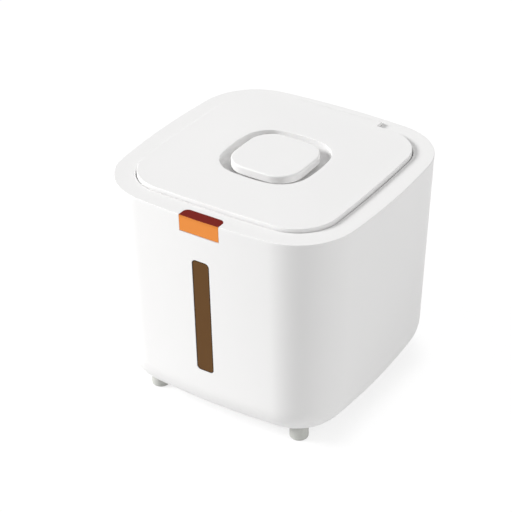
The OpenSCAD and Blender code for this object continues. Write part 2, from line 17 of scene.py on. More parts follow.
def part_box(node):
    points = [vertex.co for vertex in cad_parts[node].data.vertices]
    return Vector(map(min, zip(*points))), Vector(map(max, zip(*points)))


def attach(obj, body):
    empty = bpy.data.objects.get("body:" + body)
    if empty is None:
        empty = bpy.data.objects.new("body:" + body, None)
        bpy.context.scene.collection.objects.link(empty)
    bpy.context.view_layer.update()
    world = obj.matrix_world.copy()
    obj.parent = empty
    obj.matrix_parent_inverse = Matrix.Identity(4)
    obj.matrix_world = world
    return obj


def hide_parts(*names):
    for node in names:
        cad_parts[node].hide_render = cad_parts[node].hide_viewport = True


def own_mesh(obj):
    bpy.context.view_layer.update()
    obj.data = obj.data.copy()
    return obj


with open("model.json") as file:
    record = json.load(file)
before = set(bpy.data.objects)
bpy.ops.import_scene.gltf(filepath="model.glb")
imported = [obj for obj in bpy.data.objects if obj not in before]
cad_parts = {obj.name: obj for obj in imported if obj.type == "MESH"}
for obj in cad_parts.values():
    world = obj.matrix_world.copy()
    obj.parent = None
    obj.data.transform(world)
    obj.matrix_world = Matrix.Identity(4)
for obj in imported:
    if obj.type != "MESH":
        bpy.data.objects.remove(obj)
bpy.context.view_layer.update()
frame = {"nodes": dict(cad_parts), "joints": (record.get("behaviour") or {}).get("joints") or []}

# %% [markdown]
# ## Sizes
#
# Blender works in metres, but a moulded part is drawn in millimetres, so every size below is a
# number of millimetres times mm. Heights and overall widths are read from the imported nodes.
# What a box cannot tell, such as a corner radius or a wall, is written once, where it is first
# needed. Here are those that the whole bin shares.

# %% Driving sizes
mm = 0.001
eps = 0.01 * mm                 # places nearer than this count as one

rim_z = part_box("latch_cap")[1].z
rim_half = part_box("top_frame")[1].x
seat_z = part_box("tub")[1].z
under_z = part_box("tub")[0].z
lid_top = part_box("lid_cover")[1].z
knob_low, knob_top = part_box("knob_cap")[0].z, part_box("knob_cap")[1].z
ledge_z = rim_z - 8 * mm        # where the lid's seal comes to rest
wall = 2.6 * mm
floor_t = 3 * mm
edge_r = 41 * mm                # round lower edge of the tub
lean = 7.3 * mm / (rim_z - under_z)
lid_gap = 1 * mm
mouth_inset = 13.3 * mm         # from the lid's outline to the mouth
print("rim at", round(rim_z / mm, 1), "mm, lid's top at", round(lid_top / mm, 1), "mm")

# %% [markdown]
# ## Outlines
#
# The bin, its lid, the well in the lid and the knob share one kind of outline: a square whose
# corners are round and whose sides bulge a little, so that no side looks hollow. It is made of
# eight arcs that meet without a kink. Such an outline is the half width, the corner radius and
# the bulge, and everything else about it follows from where its arcs touch.

# %% The family of outlines
RIM = (rim_half, 64.8 * mm, 3.2 * mm)
LID = (112.3 * mm, 44.2 * mm, 1.35 * mm)
WELL = (50.2 * mm, 32.5 * mm, 1.0 * mm)
KNOB = (39.2 * mm, 25.4 * mm, 0.2 * mm)
SIDE_STEPS = 16                 # straight pieces along a side
CORNER_STEPS = 24               # straight pieces round a corner
LOOP_POINTS = 4 * (SIDE_STEPS + CORNER_STEPS)


def arcs(shape):
    """The side arc's radius and middle, the corner arc's middle, and half the side's angle."""
    half, corner, bulge = shape
    side = ((half - corner) ** 2 + bulge ** 2) / (2 * bulge)
    middle = half - side
    reach = side - corner
    centre = (middle + math.sqrt(2 * reach ** 2 - middle ** 2)) / 2
    return side, middle, centre, math.atan2(centre, centre - middle)


for name, shape in (("rim", RIM), ("lid", LID), ("well", WELL), ("knob", KNOB)):
    print(name, "side arc radius", round(arcs(shape)[0] / mm, 1), "mm")

# %% [markdown]
# ## Working in edit mode
#
# Blender's operators act on whatever is selected, and a new primitive or a loaded node is
# selected from the start. So a piece is made the only selected one before edit mode is
# entered, and vertices are what is picked in it until a step asks for edges.

# %% Helpers for edit mode
def only(piece):
    """Makes this piece the one selected and active object."""
    bpy.ops.object.select_all(action="DESELECT")
    if piece is not None:
        piece.select_set(True)
        bpy.context.view_layer.objects.active = piece


def edit(piece, select="SELECT"):
    only(piece)
    bpy.ops.object.mode_set(mode="EDIT")
    bpy.ops.mesh.select_mode(type="VERT")
    bpy.ops.mesh.select_all(action=select)


def leave():
    bpy.ops.object.mode_set(mode="OBJECT")


def quarter_turns(times):
    """The cosine and sine of that many quarter turns, as whole numbers."""
    return round(math.cos(times * math.pi / 2)), round(math.sin(times * math.pi / 2))


print("first two quarter turns:", quarter_turns(1), quarter_turns(2))

# %% [markdown]
# ## Drawing an outline
#
# Spin turns a selected vertex about an axis and leaves an arc behind it. Eight turns of Spin
# draw the outline exactly, which no scaled circle or subdivided square would. The round parts,
# such as the cartridge and the feet, start from a circle with just as many points, so that
# their edges can be joined to the others point by point.

# %% Draw an outline as a flat face
def drawn(name, shape, inset, z):
    """A face with that outline or radius, in by the inset, at that height, left in edit mode."""
    only(None)
    if isinstance(shape, float):
        bpy.ops.mesh.primitive_circle_add(
            vertices=LOOP_POINTS, radius=shape - inset, fill_type="NGON",
            location=(0, 0, z), rotation=(0, 0, -math.pi / 4))
        piece = bpy.context.object
        bpy.ops.object.transform_apply()
        piece.name = name
        edit(piece)
        return piece
    side, middle, centre, swing = arcs(shape)
    bpy.ops.mesh.primitive_plane_add(size=mm)
    piece = bpy.context.object
    piece.name = name
    edit(piece)
    bpy.ops.mesh.merge(type="CENTER")
    radius = side - inset
    bpy.ops.transform.translate(
        value=(middle + radius * math.cos(swing), -radius * math.sin(swing), z))
    for quarter in range(4):
        c, s = quarter_turns(quarter)
        bpy.ops.mesh.spin(steps=SIDE_STEPS, angle=-2 * swing,
                          center=(middle * c, middle * s, z), axis=(0, 0, 1))
        bpy.ops.mesh.spin(steps=CORNER_STEPS, angle=2 * swing - math.pi / 2,
                          center=(centre * (c - s), centre * (s + c), z), axis=(0, 0, 1))
    bpy.ops.mesh.select_all(action="SELECT")
    bpy.ops.mesh.remove_doubles(threshold=eps)
    bpy.ops.mesh.edge_face_add()
    if next(iter(bmesh.from_edit_mesh(piece.data).faces)).normal.z < 0:
        bpy.ops.mesh.flip_normals()
    return piece


print("an outline has", LOOP_POINTS, "points")

# %% [markdown]
# ## Walking inwards from an outline
#
# Inset moves a face's edge inwards by an even distance, and its depth moves the face up or down
# at the same time. So a moulded section can be walked: each stop is a distance in from the
# outline and a height, and the faces that the walk leaves behind are the skin of the piece. Two
# walks that start from the same edge, one over the top and one underneath, close into a solid.
# A corner of the section is given with its radius, and is turned into a short arc of stops.

# %% Walk a section
def walked(name, shape, stops, end="open"):
    """The skin left behind by walking inwards from the outline through the stops."""
    inset, z = stops[0]
    piece = drawn(name, shape, inset, z)
    for next_inset, next_z in stops[1:]:
        if next_inset - inset > eps / 10:
            bpy.ops.mesh.inset(thickness=next_inset - inset, depth=next_z - z)
        else:
            bpy.ops.mesh.extrude_region_move(
                TRANSFORM_OT_translate={"value": (0, 0, next_z - z)})
        inset, z = next_inset, next_z
    if end == "open":
        bpy.ops.mesh.delete(type="ONLY_FACE")
    # The face that the walk began with is deleted, unless it is also where a closed walk ended.
    bpy.ops.mesh.select_all(action="DESELECT")
    first_z = stops[0][1]
    back_at_first = end == "closed" and abs(z - first_z) < eps
    for face in bmesh.from_edit_mesh(piece.data).faces:
        at_first = len(face.verts) > 4 and abs(face.calc_center_median().z - first_z) < eps
        face.select = at_first and not back_at_first
    bpy.ops.mesh.delete(type="ONLY_FACE")
    leave()
    return piece


def rounded(*corners, steps=5):
    """Stops of a walk, with each (inset, height, radius) corner turned into an arc."""
    stops = [corners[0][:2]]
    for before, corner, after in zip(corners, corners[1:], corners[2:]):
        here, radius = Vector(corner[:2]), corner[2]
        if radius == 0:
            stops.append(tuple(here))
            continue
        back, on = (Vector(before[:2]) - here).normalized(), (Vector(after[:2]) - here).normalized()
        turn = back.angle(on)
        reach = radius / math.tan(turn / 2)
        middle = here + (back + on).normalized() * (radius / math.sin(turn / 2))
        start = (here + back * reach - middle).normalized()
        finish = (here + on * reach - middle).normalized()
        for i in range(steps + 1):
            stops.append(tuple(middle + start.slerp(finish, i / steps) * radius))
    return stops + [corners[-1][:2]]


print("a square corner becomes", len(rounded((0, 0, 0), (0, 1, 0.2), (1, 1, 0))) - 2, "stops")

# %% [markdown]
# ## Sewing skins together
#
# Separate walks are joined into one mesh. Where they start from the same edge, Merge by
# Distance closes them. Where an edge of one family of outlines faces an edge of another, such
# as the round-cornered rim and the tighter recess for the lid, Bridge Edge Loops lays the flat
# face between them. Last, the normals are made to point outwards, because walks that went down
# and walks that went up do not agree on which side is out.

# %% Helpers for joining and bridging
def joined(name, *parts):
    only(parts[0])
    for part in parts:
        part.select_set(True)
    bpy.ops.object.join()
    piece = bpy.context.object
    piece.name = name
    edit(piece)
    bpy.ops.mesh.remove_doubles(threshold=2 * eps)
    leave()
    return piece


def bridged(piece, *heights, reach=eps):
    """Lays a face between the two open edges at each height, or within the reach of it."""
    for z in heights:
        edit(piece, "DESELECT")
        bpy.ops.mesh.select_mode(type="EDGE")
        for edge in bmesh.from_edit_mesh(piece.data).edges:
            if edge.is_boundary and all(abs(v.co.z - z) < reach for v in edge.verts):
                edge.select_set(True)
        bpy.ops.mesh.bridge_edge_loops()
        leave()
    return piece


def facing_out(piece):
    edit(piece)
    bpy.ops.mesh.normals_make_consistent(inside=False)
    leave()
    return piece


# %% [markdown]
# ## Blocks, rods and the cuts made with them
#
# What crosses a walked skin, such as a lug, a socket or a slot, follows none of its loops. Such
# features start as a cube or a cylinder, as they would in a toolmaker's drawing, and a Boolean
# adds them or cuts them out. Real edges are never sharp, so two helpers round them: one rounds
# every edge over an angle, the other only the edges that it is told to.

# %% Helpers for blocks, rods, cuts and rounded edges
def boolean(piece, operation, *others):
    """Cuts or adds the other shapes, which are used up."""
    for other in others:
        only(piece)
        step = piece.modifiers.new("step", "BOOLEAN")
        step.operation, step.solver, step.object = operation, "EXACT", other
        bpy.ops.object.modifier_apply(modifier=step.name)
        bpy.data.objects.remove(other)
    return piece


def block(low, high):
    """A box between its lowest and its highest corner."""
    only(None)
    low, high = Vector(low), Vector(high)
    bpy.ops.mesh.primitive_cube_add(size=1, location=(low + high) / 2, scale=high - low)
    bpy.ops.object.transform_apply()
    return bpy.context.object


def rod(radius, low, high, axis="Z", points=64):
    """A cylinder between two heights, or between two places along X."""
    only(None)
    low, high = Vector(low), Vector(high)
    turn = {"Z": (0, 0, 0), "X": (0, math.pi / 2, 0)}[axis]
    bpy.ops.mesh.primitive_cylinder_add(
        vertices=points, radius=radius, depth=(high - low).length,
        location=(low + high) / 2, rotation=turn)
    bpy.ops.object.transform_apply()
    return bpy.context.object


def bevelled(piece, width, segments=3, angle=40):
    """Rounds every edge that is sharper than the angle."""
    only(piece)
    step = piece.modifiers.new("edges", "BEVEL")
    step.width, step.segments, step.limit_method = width, segments, "ANGLE"
    step.angle_limit, step.use_clamp_overlap = math.radians(angle), True
    step.harden_normals = False
    bpy.ops.object.modifier_apply(modifier=step.name)
    return piece


def corners_rounded(piece, radius, chosen):
    """Rounds the edges whose two ends pass the test."""
    edit(piece, "DESELECT")
    bpy.ops.mesh.select_mode(type="EDGE")
    for edge in bmesh.from_edit_mesh(piece.data).edges:
        edge.select_set(chosen(edge.verts[0].co, edge.verts[1].co))
    bpy.ops.mesh.bevel(offset=radius, segments=10, affect="EDGES")
    leave()
    return piece


# %% [markdown]
# ## Tub
#
# The tub is one white moulding with leaning walls, a large radius all round its lower edge and
# an even wall. It could be a bevelled cube, but a Bevel has one radius and these outlines do
# not. So its outside is walked down from the seat of the rim, in along the quarter circle of
# the lower edge, and closed by the flat underside. The inside is the same walk, one wall
# further in.

# %% Walk the tub's outside and inside
EDGE_STEPS = 14                 # stops along the round lower edge


def tub_walk(name, depth, low):
    """Down the leaning wall and round the lower edge, that far inside the outer face."""
    r = edge_r - depth
    stops = [(extra + (rim_z - seat_z) * lean, seat_z) for extra in sorted({0.0, depth})]
    for i in range(EDGE_STEPS + 1):
        t = math.pi / 2 * i / EDGE_STEPS
        z = low + r * (1 - math.sin(t))
        stops.append((depth + (rim_z - z) * lean + r * (1 - math.cos(t)), z))
    return walked(name, RIM, stops, end="closed")


tub = joined("tub_shell", tub_walk("outside", 0.0, under_z),
             tub_walk("inside", wall, under_z + floor_t))
facing_out(tub)
print("tub:", len(tub.data.polygons), "faces")

# %% [markdown]
# The window's opening follows the leaning wall, so its plate is drawn upright, given four round
# corners, tilted by the wall's lean and moved onto the wall. The same plate could be grown to
# draw the clear strip too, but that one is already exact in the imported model.

# %% Draw the window's opening
strip_low, strip_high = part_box("window_strip")
window_w, window_h, window_r = 19.8 * mm, 130.6 * mm, 4.6 * mm
window_mid = (strip_low.z + strip_high.z) / 2
window_front, window_back = -3 * mm, 6 * mm


def window_plate(front, back):
    """The window's outline as a plate between two depths behind the wall's face."""
    only(None)
    bpy.ops.mesh.primitive_cube_add(
        size=1, scale=(window_w, back - front, window_h), location=(0, (front + back) / 2, 0))
    bpy.ops.object.transform_apply()
    plate = corners_rounded(bpy.context.object, window_r,
                            lambda a, b: abs(a.y - b.y) > (back - front) / 2)
    plate.rotation_euler = (math.atan(lean), 0, 0)
    plate.location = (0, (rim_z - window_mid) * lean - rim_half, window_mid)
    bpy.ops.object.transform_apply()
    return plate


print("window:", round(window_w / mm, 1), "by", round(window_h / mm, 1), "mm")

# %% [markdown]
# A pad over each foot keeps the floor thick where the foot's screw bites. The pads are plain
# rods, and where they would come through the round lower edge they are trimmed to the middle
# of the wall. Then the window, the notch for the latch and the sockets are cut.

# %% Add the pads and cut the tub's openings
foot_at = [(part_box(n)[0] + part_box(n)[1]) / 2 for n in
           ("foot_front_left", "foot_front_right", "foot_back_left", "foot_back_right")]
foot_r, foot_fit = 9.75 * mm, 0.15 * mm
socket_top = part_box("foot_front_left")[1].z
pad_r, pad_top, pad_edge = 13.25 * mm, 20 * mm, 1 * mm
notch_half, notch_depth = 22.5 * mm, 8 * mm
notch_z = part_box("latch_button")[0].z - 0.8 * mm
pads = joined("pads", *[
    bevelled(rod(pad_r, (p.x, p.y, 0), (p.x, p.y, pad_top)), pad_edge) for p in foot_at])
mid_wall = tub_walk("mid_wall", wall / 2, under_z + floor_t / 2)
edit(mid_wall)
bpy.ops.mesh.fill_holes(sides=LOOP_POINTS)
leave()
boolean(pads, "INTERSECT", facing_out(mid_wall))
boolean(tub, "UNION", pads)
boolean(tub, "DIFFERENCE", window_plate(window_front, window_back),
        block((-notch_half, -rim_half - mm, notch_z),
              (notch_half, -rim_half + notch_depth, seat_z + mm)),
        *[rod(foot_r + foot_fit, (p.x, p.y, 0), (p.x, p.y, socket_top)) for p in foot_at])
print("tub with its openings:", len(tub.data.polygons), "faces")

# %% [markdown]
# ## Top frame
#
# A separate frame closes the tub. Its plate is flush with the tub's walls, a recess takes the
# lid, a ledge carries the lid's seal, and a collar guides the rice past the ledge. It is walked
# in four skins: over the plate, under the plate and round the skirt that plugs into the tub,
# down into the recess, and round the ledge and collar from below. Bridges close the plate above
# and below, and the collar.

# %% Walk the frame
skirt_inset, skirt_depth = wall + 0.8 * mm, 12 * mm
frame_wall = 2 * mm
ledge_t = 2.5 * mm
collar_z = 224 * mm
rim_edge = 0.7 * mm             # round along the rim and along the recess
seam = collar_z + 3 * mm        # where the collar's two skins meet
top_flat, recess_flat, under_flat = 8 * mm, 9 * mm, 14 * mm     # walked up to the bridges
plate_top = walked("plate_top", RIM, rounded(
    (0, seat_z, 0), (0, rim_z, rim_edge), (top_flat, rim_z, 0)))
plate_under = walked("plate_under", RIM, [
    (0, seat_z), (skirt_inset, seat_z), (skirt_inset, seat_z - skirt_depth),
    (skirt_inset + frame_wall, seat_z - skirt_depth), (skirt_inset + frame_wall, seat_z),
    (under_flat, seat_z)])
recess = walked("recess", LID, rounded(
    (-recess_flat, rim_z, 0), (-lid_gap, rim_z, rim_edge), (-lid_gap, ledge_z, 0.3 * mm),
    (mouth_inset, ledge_z, 0.6 * mm), (mouth_inset, seam + mm, 0)))
collar_skin = walked("collar_skin", LID, rounded(
    (-lid_gap - frame_wall, seat_z, 0), (-lid_gap - frame_wall, ledge_z - ledge_t, 0),
    (mouth_inset - frame_wall, ledge_z - ledge_t, 0),
    (mouth_inset - frame_wall, collar_z, 0.6 * mm), (mouth_inset, collar_z, 0.6 * mm),
    (mouth_inset, seam - mm, 0)))
rim_frame = joined("rim_frame", plate_top, plate_under, recess, collar_skin)
bridged(rim_frame, rim_z, seat_z)
facing_out(bridged(rim_frame, seam, reach=1.5 * mm))
print("top frame:", len(rim_frame.data.polygons), "faces")

# %% [markdown]
# The frame also holds the two mechanisms. At the back a round housing hangs under the plate for
# the lid's hinge. At the front the walls of a box guide the button and its springs, with a boss
# on each side for a screw.

# %% Add the hinge housing and the latch box to the frame
pin_low, pin_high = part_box("hinge_pin_right")
hinge_y, hinge_z = (pin_low.y + pin_high.y) / 2, (pin_low.z + pin_high.z) / 2
pin_r = (pin_high.z - pin_low.z) / 2
trough_r = lid_top - hinge_z + 0.9 * mm
housing_end = pin_high.x + 1.3 * mm
outside = rim_half + 20 * mm    # well past the bin
screws_low, screws_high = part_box("retainer_screws")
screw_x, screw_y = screws_high.x - 2.5 * mm, (screws_low.y + screws_high.y) / 2
boss_r = 3.2 * mm
box_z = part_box("latch_retainer")[0].z + 2.5 * mm
box_half, box_front = notch_half + frame_wall, -rim_half + 4.5 * mm
recess_y = -LID[0] - lid_gap    # front wall of the recess


def along_x(radius, start, stop):
    """A rod round the hinge's axis."""
    return rod(radius, (start, hinge_y, hinge_z), (stop, hinge_y, hinge_z), "X")


housing = boolean(along_x(trough_r + frame_wall, -housing_end, housing_end), "DIFFERENCE",
                  block((-rim_half, 0, seat_z + mm), (rim_half, outside, rim_z + 9 * mm)))
box_walls = [block((x, box_front, box_z), (x + frame_wall, recess_y, seat_z + mm))
             for x in (-box_half, notch_half)]
box_walls.append(block((-box_half, recess_y - frame_wall, box_z),
                       (box_half, recess_y, ledge_z - ledge_t / 2)))
for side in (-1, 1):
    box_walls.append(rod(boss_r, (side * screw_x, screw_y, box_z),
                         (side * screw_x, screw_y, seat_z + mm)))
    inner, far = sorted((side * notch_half, side * screw_x))
    box_walls.append(block((inner, screw_y - mm, box_z), (far, screw_y + mm, seat_z + mm)))
boolean(rim_frame, "UNION", housing, *box_walls)
print("frame with housing:", len(rim_frame.data.polygons), "faces")

# %% [markdown]
# Then the open spaces are cut: the trough that the lid's round back turns in, the way of the
# button and its guide, the recess of the cap with its two round corners, the slot that the
# lid's hook drops through, and the window through which the button's tongue reaches the hook.

# %% Cut the trough, the button's way and the cap's recess
hinge_half = 52 * mm
cap_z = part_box("latch_cap")[0].z
cap_back_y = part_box("latch_cap")[1].y + 0.15 * mm
cap_half, cap_corner = notch_half + 0.1 * mm, 6 * mm
button_back, guide_front, guide_back = (-rim_half + depth * mm for depth in (6.2, 5, 16.3))
guide_half = notch_half - 2 * mm
slot_half, slot_back = 8.7 * mm, -104.3 * mm
tongue_half, tongue_z = 12 * mm, box_z + 4.2 * mm
tongue_fit = 0.5 * mm


def cap_outline(low, high):
    """A block as wide as the latch opening whose two back corners are round."""
    cap = block((-cap_half, -rim_half - mm, low), (cap_half, cap_back_y, high))
    return corners_rounded(cap, cap_corner, lambda a, b: (
        max(abs(a.y - cap_back_y), abs(b.y - cap_back_y)) < eps and abs(a.z - b.z) > eps))


cuts = [
    along_x(trough_r, -hinge_half, hinge_half),
    block((-hinge_half, hinge_y - trough_r, hinge_z),
          (hinge_half, hinge_y + trough_r, rim_z + mm)),
    block((-hinge_half, LID[0] - mm, ledge_z + mm), (hinge_half, hinge_y, rim_z + mm)),
    block((-notch_half, -rim_half - mm, box_z), (notch_half, button_back, cap_z)),
    block((-guide_half, guide_front, box_z), (guide_half, guide_back, cap_z)),
    cap_outline(cap_z, rim_z + mm),
    block((-slot_half, recess_y - eps, ledge_z - ledge_t - mm),
          (slot_half, slot_back, ledge_z + mm)),
    block((-tongue_half - tongue_fit, recess_y - frame_wall - mm, tongue_z - tongue_fit),
          (tongue_half + tongue_fit, recess_y + mm, tongue_z + 3 * mm)),
]
boolean(rim_frame, "DIFFERENCE", *cuts)
print("frame with its openings:", len(rim_frame.data.polygons), "faces")

# %% [markdown]
# Inside the trough two lugs stand up from the housing and hold the pins. A lug is a rod round
# the hinge's axis with a block under it, and the pins' holes are drilled through everything in
# one go, which keeps them in line.

# %% Stand the lugs in the trough and drill for the pins
lug_r, lug_x, lug_w = pin_r + 2.4 * mm, 24 * mm, 8 * mm
pin_fit, pin_play = 0.03 * mm, 0.06 * mm        # in the frame, and in the lid's arms
lugs = []
for x in (-lug_x - lug_w, lug_x):
    foot_of_lug = block((x, LID[0] + lid_gap + 0.3 * mm, hinge_z - trough_r - mm),
                        (x + lug_w, hinge_y - mm, hinge_z))
    lugs.append(boolean(along_x(lug_r, x, x + lug_w), "UNION", foot_of_lug))
boolean(rim_frame, "UNION", *lugs)
boolean(rim_frame, "DIFFERENCE",
        along_x(pin_r + pin_fit, -housing_end + mm, housing_end - mm))
print("frame with its lugs:", len(rim_frame.data.polygons), "faces")

# %% [markdown]
# ## Lid
#
# The lid's cover is a thin shell: a top with a rounded edge and a skirt, and in the middle a
# well for the fingers round the knob. The top rises a little towards the well, as moulded lids
# do so that they never look sunken. The well's floor has a round hole with a collar, which the
# cartridge hangs in. Three kinds of outline meet here, so it is walked as six skins and bridged
# where they face each other. The bridge across the top runs from the flat edge up to the well.

# %% Walk the lid's cover
liner_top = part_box("lid_liner")[1].z
liner_low = liner_top - 2.3 * mm
plate_z = lid_top - 2.5 * mm    # underside of the lid's top
skirt_low, skirt_t = ledge_z + 1.5 * mm, 2.2 * mm
well_z, well_t = lid_top - 9.5 * mm, 2 * mm
socket_r, socket_t = 33.5 * mm, 2 * mm
collar_low = liner_low - 8 * mm
lid_edge, lid_flat = 0.9 * mm, 12 * mm
crown = 1.4 * mm                # rise of the top from its edge to the well
well_top, well_flat = lid_top + crown, 10 * mm
ring = 3 * mm                   # flat round the hole in the well's floor
top_skin = walked("top_skin", LID, rounded(
    (0, skirt_low, 0), (0, lid_top, lid_edge), (lid_flat, lid_top, 0)))
skirt_skin = walked("skirt_skin", LID, rounded(
    (0, skirt_low, 0), (skirt_t, skirt_low, 0), (skirt_t, plate_z, 0.8 * mm),
    (lid_flat, plate_z, 0)))
well_skin = walked("well_skin", WELL, rounded(
    (-well_flat, well_top, 0), (0, well_top, 0.6 * mm), (0, well_z, 6 * mm), (7 * mm, well_z, 0)))
well_back = walked("well_back", WELL, [
    (-well_flat, plate_z), (-well_t, plate_z), (-well_t, well_z - well_t),
    (6 * mm, well_z - well_t)])
hole = walked("hole", socket_r + ring, rounded(
    (0, well_z, 0), (ring, well_z, 0.5 * mm), (ring, collar_low + mm, 0)))
hole_back = walked("hole_back", socket_r + ring, rounded(
    (0, well_z - well_t, 0), (ring - socket_t, well_z - well_t, 0),
    (ring - socket_t, collar_low, 0.5 * mm), (ring, collar_low, 0.5 * mm),
    (ring, collar_low + mm, 0)))
lid_shell = joined("lid_shell", top_skin, skirt_skin, well_skin, well_back, hole, hole_back)
bridged(lid_shell, lid_top + crown / 2, reach=crown / 2 + eps)
facing_out(bridged(lid_shell, plate_z, well_z, well_z - well_t))
print("lid:", len(lid_shell.data.polygons), "faces")

# %% [markdown]
# Along its hinge the lid carries a long round back that fills the frame's trough, so that no
# gap shows, and an arm at each end of it for a pin. The round back is itself a thin shell. A
# rod and a block make its outside, and a smaller rod and two blocks hollow it out.

# %% Make the lid's round back and its hinge arms
knuckle = hinge_half - 0.4 * mm
shell_r, shell_t = lid_top - hinge_z, 2 * mm
arm_w, skirt_y = 9 * mm, LID[0] - skirt_t
back_skin = boolean(along_x(shell_r, -knuckle, knuckle), "UNION",
                    block((-knuckle, skirt_y, lid_top - 1.5 * shell_r),
                          (knuckle, hinge_y, lid_top)))
boolean(back_skin, "DIFFERENCE",
        along_x(shell_r - shell_t, -rim_half, rim_half),
        block((-rim_half, 0, 0), (rim_half, hinge_y, lid_top - shell_t)),
        block((-rim_half, 0, 0), (rim_half, outside, hinge_z + 2 * mm)))
bevelled(back_skin, 0.9 * mm)
arms = []
for x in (-knuckle, knuckle - arm_w):
    tie = block((x, skirt_y, hinge_z - 1.5 * mm), (x + arm_w, hinge_y, lid_top - mm))
    arms.append(boolean(along_x(shell_r - shell_t / 2, x, x + arm_w), "UNION", tie))
print("round back:", len(back_skin.data.polygons), "faces and", len(arms), "arms")

# %% [markdown]
# At the front a hook hangs from the skirt and drops through the ledge to the button. Only its
# straight shank is made here, as a block. The nose that catches under the button's bar is in
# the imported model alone, and could be pushed out of the lower part of the block's back face.
#
# Eight stakes under the top hold the inner plate, two along each side. They are placed beside
# one axis, and quarter turns carry them to the other sides. Then everything is joined to the
# cover, and the holes for the pins are drilled through both arms at once.

# %% Add the arms, the hook and the stakes to the lid
hook_half, hook_t = 7.5 * mm, 2 * mm
hook_y = -LID[0] + 0.1 * mm
hook = block((-hook_half, hook_y, tongue_z - 3 * mm),
             (hook_half, hook_y + hook_t, skirt_low + mm))
stake_r, stake_far, stake_side = 2 * mm, LID[0] - 19 * mm, 40 * mm
stakes = []
for turn in range(4):
    c, s = quarter_turns(turn)
    for side in (-stake_side, stake_side):
        x, y = stake_far * c - side * s, stake_far * s + side * c
        stakes.append(rod(stake_r, (x, y, liner_low - 0.3 * mm), (x, y, plate_z + mm), points=32))
boolean(lid_shell, "UNION", back_skin, *arms, hook, *stakes)
boolean(lid_shell, "DIFFERENCE", along_x(pin_r + pin_play, -rim_half, rim_half))
print("lid with arms, hook and stakes:", len(lid_shell.data.polygons), "faces")

# %% [markdown]
# ## Inner plate and plug
#
# Under the cover a flat plate hides its ribs. A rim on it plugs into the mouth, and a groove
# holds the seal ring. These are seen only with the lid open, but then they fill the view, so
# they are walked as carefully as the top.

# %% Walk the inner plate
plug_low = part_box("lid_liner")[0].z
plug_inset, plug_t = mouth_inset + 0.8 * mm, 2 * mm
gasket_low, gasket_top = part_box("lid_gasket")[0].z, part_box("lid_gasket")[1].z
groove_out, groove_in = 7.3 * mm, 11.3 * mm
groove_mid = (groove_out + groove_in) / 2
plate_edge, plate_flat = 4.2 * mm, 24 * mm
well_hole, hole_flat = -well_t - 0.15 * mm, -14 * mm
under_skin = walked("under_skin", LID, rounded(
    (plate_edge, liner_top, 0), (plate_edge, liner_low, 0.3 * mm), (groove_out, liner_low, 0),
    (groove_out, gasket_top, 0), (groove_mid, gasket_top, 0)))
under_skin_in = walked("under_skin_in", LID, rounded(
    (groove_in, gasket_top, 0), (groove_in, liner_low, 0), (plug_inset, liner_low, 0),
    (plug_inset, plug_low, 0.5 * mm), (plug_inset + plug_t, plug_low, 0.5 * mm),
    (plug_inset + plug_t, liner_low, 0), (plate_flat, liner_low, 0)))
over_skin = walked("over_skin", LID, [(plate_edge, liner_top), (plate_flat, liner_top)])
plate_hole = walked("plate_hole", WELL, rounded(
    (hole_flat, liner_low, 0), (well_hole, liner_low, 0.3 * mm), (well_hole, liner_top, 0)))
plate_hole_top = walked("plate_hole_top", WELL, [(hole_flat, liner_top), (well_hole, liner_top)])
inner_plate = joined("inner_plate", under_skin, under_skin_in, over_skin, plate_hole,
                     plate_hole_top)
facing_out(bridged(inner_plate, liner_low, liner_top, gasket_top))
print("inner plate:", len(inner_plate.data.polygons), "faces")

# %% [markdown]
# The seal ring is a soft strip that fills the groove and presses on the frame's ledge. Silicone
# comes out of its mould without sharp corners, so both of its lower edges are round.

# %% Walk the seal ring
seal_out, seal_in = groove_out + 0.15 * mm, groove_in - 0.15 * mm
seal_ring = joined("seal_ring",
                   walked("seal_under", LID, rounded(
                       (seal_out, gasket_top, 0), (seal_out, gasket_low, 0.5 * mm),
                       (seal_in, gasket_low, 0.5 * mm), (seal_in, gasket_top, 0))),
                   walked("seal_top", LID, [(seal_out, gasket_top), (seal_in, gasket_top)]))
facing_out(seal_ring)
print("seal:", len(seal_ring.data.polygons), "faces")

# %% [markdown]
# ## Knob and cartridge
#
# The knob is a shallow cap with the same bulging outline as the lid, and the larger round along
# its top edge is what the fingers feel. One walk goes up over it, the other goes under its edge
# and up inside, and both close in the middle.

# %% Walk the knob
knob_t, knob_flat = 2.2 * mm, 12 * mm
knob = joined("knob_shell",
              walked("knob_top", KNOB, rounded(
                  (0, knob_low + mm, 0), (0, knob_top, 1.6 * mm),
                  (knob_flat, knob_top, 0)), end="closed"),
              walked("knob_inside", KNOB, rounded(
                  (0, knob_low + mm, 0), (0, knob_low, 0.5 * mm), (knob_t, knob_low, 0.3 * mm),
                  (knob_t, knob_top - knob_t, 0),
                  (knob_flat, knob_top - knob_t, 0)), end="closed"))
facing_out(knob)
print("knob:", len(knob.data.polygons), "faces")

# %% [markdown]
# The knob is glued over the flange of a round cartridge, which hangs in the well's hole with a
# seal in a groove round it. The flange follows the knob's outline and the cup is turned, so the
# two are walked by themselves and a bridge joins them under the flange.

